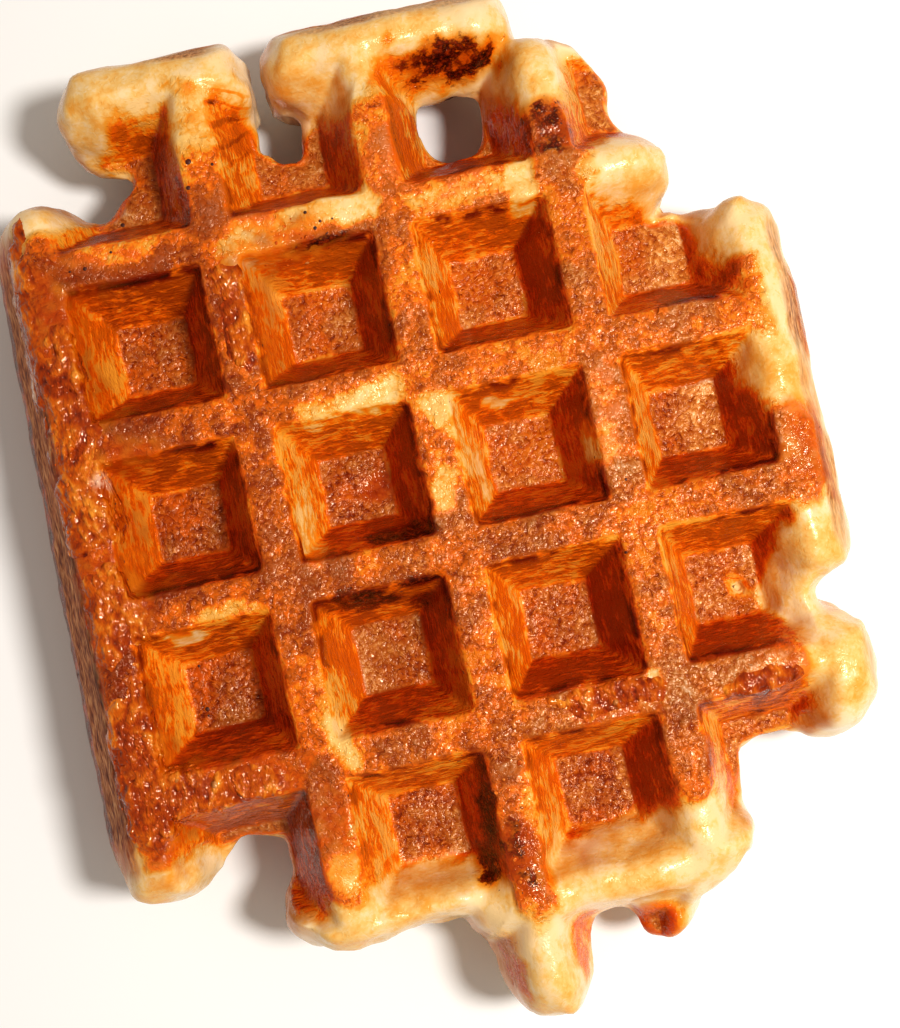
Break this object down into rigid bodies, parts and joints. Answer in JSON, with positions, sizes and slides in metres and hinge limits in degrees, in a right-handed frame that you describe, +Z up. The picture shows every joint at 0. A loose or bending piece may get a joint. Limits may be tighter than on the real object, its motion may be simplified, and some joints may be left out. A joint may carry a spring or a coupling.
{
  "type": "liege waffle",
  "caption": "Thick baked waffle with deep square wells on both faces, slanted moulded borders and rounded lobes where the dough ran out along the ridges.",
  "frame": {"origin": "middle of the waffle's outline, on the plane of its lower ridge tops, which it rests on", "axes": "+Z up through the thickness, +Y along the longer side, with two lobes at its end, +X towards the lobed side, away from the straight moulded border"},
  "size_m": [0.1124, 0.1453, 0.026],
  "materials": {
    "crust": "browned dough crust: reddish-brown ridge tops, orange walls, tan floors and pale unbrowned lobes; satin to dull",
    "glaze": "thin clear film of melted sugar, glossy",
    "sugar": "beads and drops of melted pearl sugar, amber and glossy"
  },
  "bodies": {
    "root": {"waffle": "crust"}
  },
  "joints": []
}
